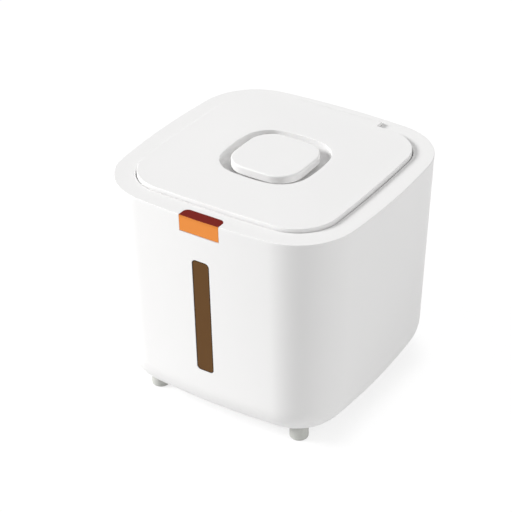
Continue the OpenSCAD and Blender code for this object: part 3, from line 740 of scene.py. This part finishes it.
# %% Walk the cartridge
cup_r, cup_t, cup_flat = 32.5 * mm, 2 * mm, 20 * mm
cup_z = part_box("cartridge_cup")[0].z
seal_z = (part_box("cartridge_seal")[0].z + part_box("cartridge_seal")[1].z) / 2
groove, groove_depth = 0.85 * mm, 1 * mm
flange_top = knob_low + 2 * mm
flange_edge, flange_flat = 2.35 * mm, 5.5 * mm
cup = joined("cartridge_shell",
             walked("flange", KNOB, rounded(
                 (flange_edge, flange_top, 0), (flange_edge, knob_low, 0.2 * mm),
                 (flange_flat, knob_low, 0))),
             walked("flange_top", KNOB, [
                 (flange_edge, flange_top), (flange_flat, flange_top)], end="closed"),
             walked("cup_wall", cup_r, [
                 (0, knob_low), (0, seal_z + groove), (groove_depth, seal_z + groove)]),
             walked("cup_groove", cup_r, [
                 (0, seal_z - groove), (groove_depth, seal_z - groove),
                 (groove_depth, seal_z + groove)]),
             walked("cup_low", cup_r, rounded(
                 (0, seal_z - groove, 0), (0, cup_z, 0.4 * mm), (cup_t, cup_z, 0.4 * mm),
                 (cup_t, knob_low, 0), (cup_flat, knob_low, 0)), end="closed"))
facing_out(bridged(cup, knob_low))
print("cartridge:", len(cup.data.polygons), "faces")

# %% [markdown]
# A vented cover closes the cartridge from below, and its neck clips inside the cup. Its slots
# run side by side and end where a circle would cut them off, which keeps an even rim.

# %% Walk the cartridge's cover and cut its slots
cover_z, cover_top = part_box("cartridge_grille")[0].z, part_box("cartridge_grille")[1].z
cover_flat = 20 * mm
face_top, neck_low = cup_z - 0.3 * mm, cup_z + 0.5 * mm
neck_r, neck_t = cup_r - cup_t - 0.3 * mm, 1.6 * mm
neck = cup_r - neck_r
vent_pitch, vent_half, vent_rim = 4.4 * mm, 0.9 * mm, 5 * mm
cover = joined("cartridge_cover",
               walked("cover_face", cup_r, rounded(
                   (0, face_top, 0), (0, cover_z, 0.7 * mm),
                   (cover_flat, cover_z, 0)), end="closed"),
               walked("cover_neck", cup_r, [
                   (0, face_top), (neck, face_top), (neck, cover_top), (neck + neck_t, cover_top),
                   (neck + neck_t, neck_low), (cover_flat, neck_low)], end="closed"))
facing_out(cover)
vents = []
for i in range(-5, 6):
    y = i * vent_pitch
    half = math.sqrt((neck_r - vent_rim) ** 2 - y * y)
    vents.append(block((-half, y - vent_half, cover_z - mm), (half, y + vent_half, cup_z + mm)))
boolean(cover, "DIFFERENCE", *vents)
print("cover:", len(cover.data.polygons), "faces")

# %% [markdown]
# ## Latch and window
#
# The latch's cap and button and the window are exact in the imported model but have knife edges,
# and a real moulding never does. A copy of the node is merged, its flat faces are dissolved
# back into whole ones, and a Bevel rounds every edge.

# %% Round the edges of the latch and the window
def merged(name, node):
    """A copy of a CAD node whose flat faces are whole again."""
    copy = frame["nodes"][node].copy()
    copy.data = copy.data.copy()
    for key in list(copy.keys()):
        del copy[key]
    copy.parent = None
    copy.name = name
    bpy.context.scene.collection.objects.link(copy)
    copy.data.materials.clear()
    edit(copy)
    bpy.ops.mesh.remove_doubles(threshold=eps / 10)
    bpy.ops.mesh.dissolve_limited(angle_limit=math.radians(1))
    leave()
    return copy


latch_top = bevelled(merged("latch_top", "latch_cap"), 0.3 * mm, 2)
latch_face = bevelled(merged("latch_face", "latch_button"), 0.4 * mm, 2)
strip = bevelled(merged("viewing_strip", "window_strip"), 0.35 * mm, 2)
print("latch:", len(latch_top.data.polygons), "and", len(latch_face.data.polygons),
      "faces; window:", len(strip.data.polygons))

# %% [markdown]
# ## Feet
#
# A foot is a turned rubber pad with a bore for its screw: wide from below for the screw's head,
# and narrow above it for the shank. It is walked from a circle once, and a copy goes to each of
# the four places.

# %% Turn the feet
bore_r, bore_top, screw_r = 3.9 * mm, 4.5 * mm, 1.65 * mm
foot = joined("foot",
              walked("foot_side", foot_r, rounded(
                  (0, socket_top, 0), (0, 0, 2 * mm), (foot_r - bore_r, 0, 0.4 * mm),
                  (foot_r - bore_r, bore_top, 0), (foot_r - screw_r, bore_top, 0),
                  (foot_r - screw_r, socket_top, 0))),
              walked("foot_top", foot_r, [(0, socket_top), (foot_r - screw_r, socket_top)]))
facing_out(foot)
feet = []
for place, node in zip(foot_at, ("front_left", "front_right", "back_left", "back_right")):
    copy = foot.copy()
    copy.data = foot.data.copy()
    copy.name = "foot_" + node + "_pad"
    bpy.context.scene.collection.objects.link(copy)
    edit(copy)
    bpy.ops.transform.translate(value=(place.x, place.y, 0))
    leave()
    feet.append(copy)
bpy.data.objects.remove(foot)
print("feet:", len(feet), "of", len(feet[0].data.polygons), "faces")

# %% [markdown]
# ## Shader arithmetic
#
# A finish is described with plain arithmetic on values that vary over the surface, so a small
# class wraps a socket and turns each operator into a Math node. Every other node comes from one
# method that takes its type, its settings, and the values or links of its sockets. A material
# adds its Principled shader to that, and the sky uses it as it is.

# %% Classes for shader maths, node trees and finishes
class Value:
    """A number that varies over the surface."""

    def __init__(self, owner, socket):
        self.owner, self.socket = owner, socket

    def math(self, operation, *others):
        return self.owner.node("ShaderNodeMath", {"operation": operation},
                               dict(enumerate((self, *others))))

    def __add__(self, other):
        return self.math("ADD", other)

    def __mul__(self, other):
        return self.math("MULTIPLY", other)

    __radd__, __rmul__ = __add__, __mul__


class Nodes:
    """A tree of shader nodes, and the one way to add to it."""

    def __init__(self, tree):
        self.tree = tree

    def feed(self, socket, value):
        if isinstance(value, Value):
            self.tree.links.new(value.socket, socket)
        else:
            socket.default_value = value

    def node(self, kind, settings=None, inputs=None, output=0):
        node = self.tree.nodes.new(kind)
        for name, value in (settings or {}).items():
            setattr(node, name, value)
        for name, value in (inputs or {}).items():
            self.feed(node.inputs[name], value)
        return Value(self, node.outputs[output])

    def seen(self):
        """1 for what the camera looks at, straight, mirrored or through plastic, and else 0."""
        rays = self.node("ShaderNodeLightPath").socket.node.outputs
        seen = Value(self, rays["Is Camera Ray"])
        for other in ("Is Glossy Ray", "Is Transmission Ray"):
            seen = seen.math("MAXIMUM", Value(self, rays[other]))
        return seen


class Finish(Nodes):
    """One material, with the Principled shader that its values go into."""

    def __init__(self, name, colour, roughness, **constants):
        self.material = bpy.data.materials.new(name)
        self.material.use_nodes = True
        super().__init__(self.material.node_tree)
        self.shader = self.tree.nodes["Principled BSDF"]
        self.material.diffuse_color = (*colour, 1)
        self.set(Base_Color=(*colour, 1), Roughness=roughness, **constants)

    def set(self, **values):
        for name, value in values.items():
            self.feed(self.shader.inputs[name.replace("_", " ")], value)

    def place(self):
        return self.node("ShaderNodeTexCoord", output="Object")

    def vector(self, operation, *values, output=0):
        return self.node("ShaderNodeVectorMath", {"operation": operation},
                         dict(enumerate(values)), output)

    def past(self, place, half, start, stop):
        """From 0 to 1 between two distances outside a box about the origin."""
        outwards = self.vector("SUBTRACT", self.vector("ABSOLUTE", place), half)
        beyond = self.vector("MAXIMUM", outwards, (0, 0, 0))
        return self.node("ShaderNodeMapRange", {"interpolation_type": "SMOOTHSTEP"}, {
            "Value": self.vector("LENGTH", beyond, output="Value"),
            "From Min": start, "From Max": stop}, "Result")

    def noise(self, scale, detail=2.0):
        """A soft random pattern with that many waves in a metre, from 0 to 1."""
        return self.node("ShaderNodeTexNoise", {}, {
            "Vector": self.place(), "Scale": scale, "Detail": detail})

    def bump(self, height, depth):
        """A relief of that depth in metres."""
        return self.node("ShaderNodeBump", {}, {"Height": height, "Distance": depth})

    def between(self, amount, low, high):
        """A colour between two, by the amount."""
        low, high = (end if isinstance(end, Value) else (*end, 1) for end in (low, high))
        return self.node("ShaderNodeMix", {"data_type": "RGBA"}, {0: amount, 6: low, 7: high}, 2)


print("values can be added and multiplied")

# %% [markdown]
# ## Finishes
#
# Moulded plastic is never one even value. The tool's eroded surface leaves a relief far finer
# than a millimetre, the gloss wanders a little where the plastic cooled at different rates, and
# the colour of a white part drifts by a trace. The orange and dark red parts come from smoother
# tools, so their relief is finer. The dark red is painted shade: the latch's orange plastic as it
# looks in the shadow of its recess.

# %% Moulded plastics
def moulded(name, colour, shade, roughness, grain=0.012 * mm, wander=0.08, **constants):
    """Plastic from an eroded tool: colour, a slightly deeper shade of it, and roughness."""
    finish = Finish(name, colour, roughness, **constants)
    finish.set(
        Base_Color=finish.between(finish.noise(9, 3), shade, colour),
        Roughness=finish.noise(55, 2) * wander + (roughness - wander / 2),
        Normal=finish.bump(finish.noise(2600, 1.5), grain))
    return finish.material


white_shell = moulded("white_shell_plastic", (0.885, 0.880, 0.876), (0.872, 0.868, 0.864), 0.45,
                      IOR=1.49, Specular_IOR_Level=0.35)
white_inner = moulded("white_inner_plastic", (0.86, 0.857, 0.85), (0.845, 0.842, 0.835), 0.52,
                      grain=0.02 * mm, IOR=1.49)
orange_plastic = moulded("orange_plastic", (0.83, 0.275, 0.045), (0.80, 0.255, 0.04), 0.36,
                         grain=0.006 * mm, Specular_IOR_Level=0.25)
# The dark red is painted shade: orange plastic as it looks in the shadow of the latch's recess.
dark_red_plastic = moulded("dark_red_plastic", (0.190, 0.011, 0.006), (0.170, 0.009, 0.005), 0.40,
                           grain=0.006 * mm, Specular_IOR_Level=0.05)
print("moulded:", *(m.name for m in (white_shell, white_inner, orange_plastic, dark_red_plastic)))

# %% [markdown]
# The window is tinted brown and polished on both sides. Along its edge its colour is painted
# deeper: painted shade for the shadow of its recess in the wall, and for the light that passes
# through the plastic lengthwise there. It is a plate, so a distance from a box inside it tells
# the edge from the middle, which a painted mask could do only once the strip had been unwrapped.

# %% Clear window
def tinted(name):
    """Brown see-through plastic, polished, with painted shade deepening its colour along its edge.
    """
    colour, edge = (0.133, 0.062, 0.018), (0.035, 0.015, 0.005)
    finish = Finish(name, colour, 0.12, IOR=1.49, Specular_IOR_Level=0.1)
    centred = finish.vector("SUBTRACT", finish.place(), (0, 0, window_mid))
    half = (window_w / 2 - window_r, rim_half, window_h / 2 - window_r)
    # The band along the edge is painted shade.
    rim = finish.past(centred, half, window_r - 1.5 * mm, window_r - 0.8 * mm)
    finish.set(Base_Color=finish.between(rim, colour, edge),
               Roughness=finish.noise(40, 2) * 0.06 + 0.10,
               Alpha=0.97,
               Normal=finish.bump(finish.noise(130, 1), 0.01 * mm))
    return finish.material


window_plastic = tinted("tinted_window_plastic")
print("window's colour:", [round(v, 3) for v in window_plastic.diffuse_color[:3]])

# %% [markdown]
# The feet and the seals are rubber, which is dull and a little blotchy. The pins, springs and
# screws are drawn steel, whose fine marks change its colour, its gloss and its relief together,
# so one pattern drives all three.

# %% Rubber and steel
def rubber(name, colour, shade, roughness):
    finish = Finish(name, colour, roughness, IOR=1.45)
    finish.set(Base_Color=finish.between(finish.noise(30, 4), shade, colour),
               Roughness=finish.noise(300, 2) * 0.12 + (roughness - 0.06),
               Normal=finish.bump(finish.noise(1800, 3), 0.03 * mm))
    return finish.material


def drawn_steel(name):
    """Wire and pins, finely marked by the die that they were drawn through."""
    finish = Finish(name, (0.6, 0.6, 0.61), 0.32, Metallic=1.0)
    marks = finish.noise(900, 3)
    finish.set(Base_Color=finish.between(marks, (0.52, 0.52, 0.53), (0.64, 0.64, 0.65)),
               Roughness=marks * 0.14 + 0.25,
               Normal=finish.bump(marks, 0.004 * mm))
    return finish.material


foot_rubber = rubber("grey_foot_rubber", (0.60, 0.605, 0.575), (0.55, 0.555, 0.525), 0.62)
seal_silicone = rubber("seal_silicone", (0.70, 0.70, 0.69), (0.66, 0.66, 0.65), 0.5)
steel = drawn_steel("drawn_steel")
print("materials:", len(bpy.data.materials))

# %% [markdown]
# ## Fitting the pieces to the frame
#
# Each finished piece gets its finish, replaces its plain node, and rides on the body that moves
# it. Faces are shaded smooth except across real edges, and Weighted Normal lets the large flat
# faces set the shading, so that the small round edges take all of the turn.

# %% Finish and mount each piece
def smooth(piece, angle=35):
    only(piece)
    bpy.ops.object.shade_smooth_by_angle(angle=math.radians(angle))
    step = piece.modifiers.new("shading", "WEIGHTED_NORMAL")
    step.keep_sharp = True
    bpy.ops.object.modifier_apply(modifier=step.name)


def mounted(piece, body, slot, material, *nodes):
    """The piece with its finish, riding on its body in place of its nodes."""
    smooth(piece)
    piece.data.materials.clear()
    piece.data.materials.append(material)
    for face in piece.data.polygons:
        face.material_index = 0
    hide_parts(*nodes)
    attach(piece, body)
    print(piece.name, "rides on", body)


mounted(tub, "bin", "white_shell", white_shell, "tub")
mounted(rim_frame, "bin", "white_shell", white_shell, "top_frame")
mounted(lid_shell, "lid", "white_shell", white_shell, "lid_cover")
mounted(inner_plate, "lid", "white_inner", white_inner, "lid_liner")
mounted(seal_ring, "lid", "seal_rubber", seal_silicone, "lid_gasket")
mounted(knob, "cartridge", "white_shell", white_shell, "knob_cap")
mounted(cup, "cartridge", "white_inner", white_inner, "cartridge_cup")
mounted(cover, "cartridge_cover", "white_inner", white_inner, "cartridge_grille")
# The cap's dark red is painted shade.
mounted(latch_top, "bin", "dark_red", dark_red_plastic, "latch_cap")
mounted(latch_face, "latch_button", "orange", orange_plastic, "latch_button")
mounted(strip, "bin", "tinted_window", window_plastic, "window_strip")
for piece in feet:
    mounted(piece, "bin", "grey_foot", foot_rubber, piece.name.replace("_pad", ""))

# %% [markdown]
# The cap is coloured by the way its faces point. Its narrow front face takes the button's orange,
# so that the button's colour runs up to the rim, and the rest of it keeps the dark red, which is
# painted shade standing for the orange plastic in the shadow of the recess.

# %% Colour the cap's front face
latch_top.data.materials.append(orange_plastic)
for face in latch_top.data.polygons:
    face.material_index = int(face.normal.y < -0.6)
print("orange faces of the cap:", sum(face.material_index for face in latch_top.data.polygons))

# %% [markdown]
# A pressed button shortens the two springs behind it. Here each spring is only copied from its
# node, finished in steel and mounted on the bin with a mesh of its own. The button's travel is
# read and set against the coil's length, but the coil keeps its imported shape.

# %% Copy the latch springs
travel = next(j for j in frame["joints"] if j["name"] == "latch_press")["range_m"][1]
for side in ("left", "right"):
    node = "latch_spring_" + side
    coil_low, coil_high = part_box(node)
    coil = merged("latch_coil_" + side, node)
    mounted(coil, "bin", "steel", steel, node)
    1 - travel / (coil_high.y - coil_low.y)
    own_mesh(coil)
    print(coil.name, "shortens by", round(travel / mm, 1), "mm")

# %% [markdown]
# The pins, lid springs, screws, the retainer and the cartridge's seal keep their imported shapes,
# because those are already turned, coiled and threaded as the real ones are. They only get
# their finish.

# %% Finish the nodes that stay
KEPT = (
    (steel, ("retainer_screws", "foot_screws", "hinge_pin_left", "hinge_pin_right",
             "lid_spring_left", "lid_spring_right")),
    (white_inner, ("latch_retainer",)),
    (seal_silicone, ("cartridge_seal",)),
)
for material, nodes in KEPT:
    for node in nodes:
        for slot in frame["nodes"][node].material_slots:
            slot.material = material
print("finished nodes:", sum(len(nodes) for material, nodes in KEPT))

# %% [markdown]
# ## Studio
#
# The bin stands on a seamless pale floor, which is drawn whiter for the camera than it is for
# the light that it throws back. Near the bin it is shaded, so that the contact shadow shows,
# and further out it glows and fades to white. A distance from the bin's own outline tells near
# from far.

# %% Lay the floor
def sided(name, near, far, light_value):
    """A floor seen as (shade, glow) near the bin and far from it, and plain to the light."""
    finish = Finish(name, (light_value,) * 3, 1.0, Specular_IOR_Level=0.0, Emission_Strength=1.0)
    seen = finish.seen()
    inner, corner = RIM[0] - RIM[1], RIM[1]
    fade_start, fade_stop = corner - 25 * mm, corner + 8 * mm
    away = finish.past(finish.place(), (inner, inner, mm), fade_start, fade_stop)
    shade, glow = (finish.between(away, (n,) * 3, (f,) * 3) for n, f in zip(near, far))
    finish.set(Base_Color=finish.between(seen, (light_value,) * 3, shade),
               Emission_Color=finish.between(seen, (0, 0, 0), glow))
    return finish.material


only(None)
bpy.ops.mesh.primitive_plane_add(size=14, location=(0, 0, 0))
floor = bpy.context.object
floor.name = "studio_floor"
floor.data.materials.append(sided("pale_floor", (0.30, 0.74), (0.06, 0.97), 0.80))
print("floor:", round(floor.dimensions.x), "m wide")

# %% [markdown]
# One large soft light comes from the front left and gives the front its brightness, and a
# weaker one from the back right lifts the right side. Both are suns with a wide disc, because a
# sun is as strong at the far wall as at the near one, and the disc sets how soft its shadows
# are.

# %% Hang the lights
def soft_light(name, direction, strength, angle):
    """A large distant soft light that shines from the direction."""
    lamp = bpy.data.lights.new(name, "SUN")
    lamp.energy, lamp.angle = strength, math.radians(angle)
    light = bpy.data.objects.new(name, lamp)
    bpy.context.scene.collection.objects.link(light)
    light.rotation_euler = Vector(direction).to_track_quat("Z", "Y").to_euler()


soft_light("key_light", (-0.74, -0.45, 0.47), 3.05, 20)
soft_light("back_fill", (0.85, 0.25, 0.46), 0.87, 60)
print("lights:", len(bpy.data.lights))

# %% [markdown]
# An even sky fills the rest, so the corner that faces the viewer is the darkest upright part.
# The sky too is white to the camera but weaker as a light.

# %% Light the sky
sky_light, sky_seen = 0.395, 1.0
world = bpy.data.worlds.new("even_sky")
bpy.context.scene.world = world
world.use_nodes = True
sky = Nodes(world.node_tree)
background = sky.tree.nodes["Background"]
sky.feed(background.inputs["Color"], (1, 1, 1, 1))
sky.feed(background.inputs["Strength"], sky.node("ShaderNodeMapRange", {}, {
    "Value": sky.seen(), "To Min": sky_light, "To Max": sky_seen}, "Result"))
bpy.context.scene.view_settings.view_transform = "Standard"
print("sky:", sky_light, "as a light,", sky_seen, "as seen")

# %% [markdown]
# ## Camera
#
# The camera stands to the right of the front and looks down, with a long lens, so the walls
# stay nearly parallel. It is given by its angles round the bin, its distance, and how far the
# bin's middle lies from the middle of the view.

# %% Camera
azimuth, elevation, roll = math.radians(33.076), math.radians(32.177), math.radians(-0.477)
distance = 1750.2 * mm
middle_z = 128 * mm
focal_px, frame_px, sensor = 1703.87, 512, 36.0
aside, above = 20.291 * mm, -7.307 * mm
back = Vector((math.sin(azimuth) * math.cos(elevation), -math.cos(azimuth) * math.cos(elevation),
               math.sin(elevation)))
right = Vector((math.cos(azimuth), math.sin(azimuth), 0))
up = back.cross(right)
target = Vector((0, 0, middle_z)) - right * aside - up * above
lens = bpy.data.cameras.new("camera")
lens.sensor_width, lens.lens = sensor, focal_px * sensor / frame_px
camera = bpy.data.objects.new("camera", lens)
bpy.context.scene.collection.objects.link(camera)
bpy.context.scene.camera = camera
turned_right = right * math.cos(roll) + up * math.sin(roll)
turned_up = up * math.cos(roll) - right * math.sin(roll)
camera.matrix_world = Matrix((turned_right, turned_up, back)).transposed().to_4x4()
camera.location = target + back * distance
print("camera at", [round(v, 3) for v in camera.location])
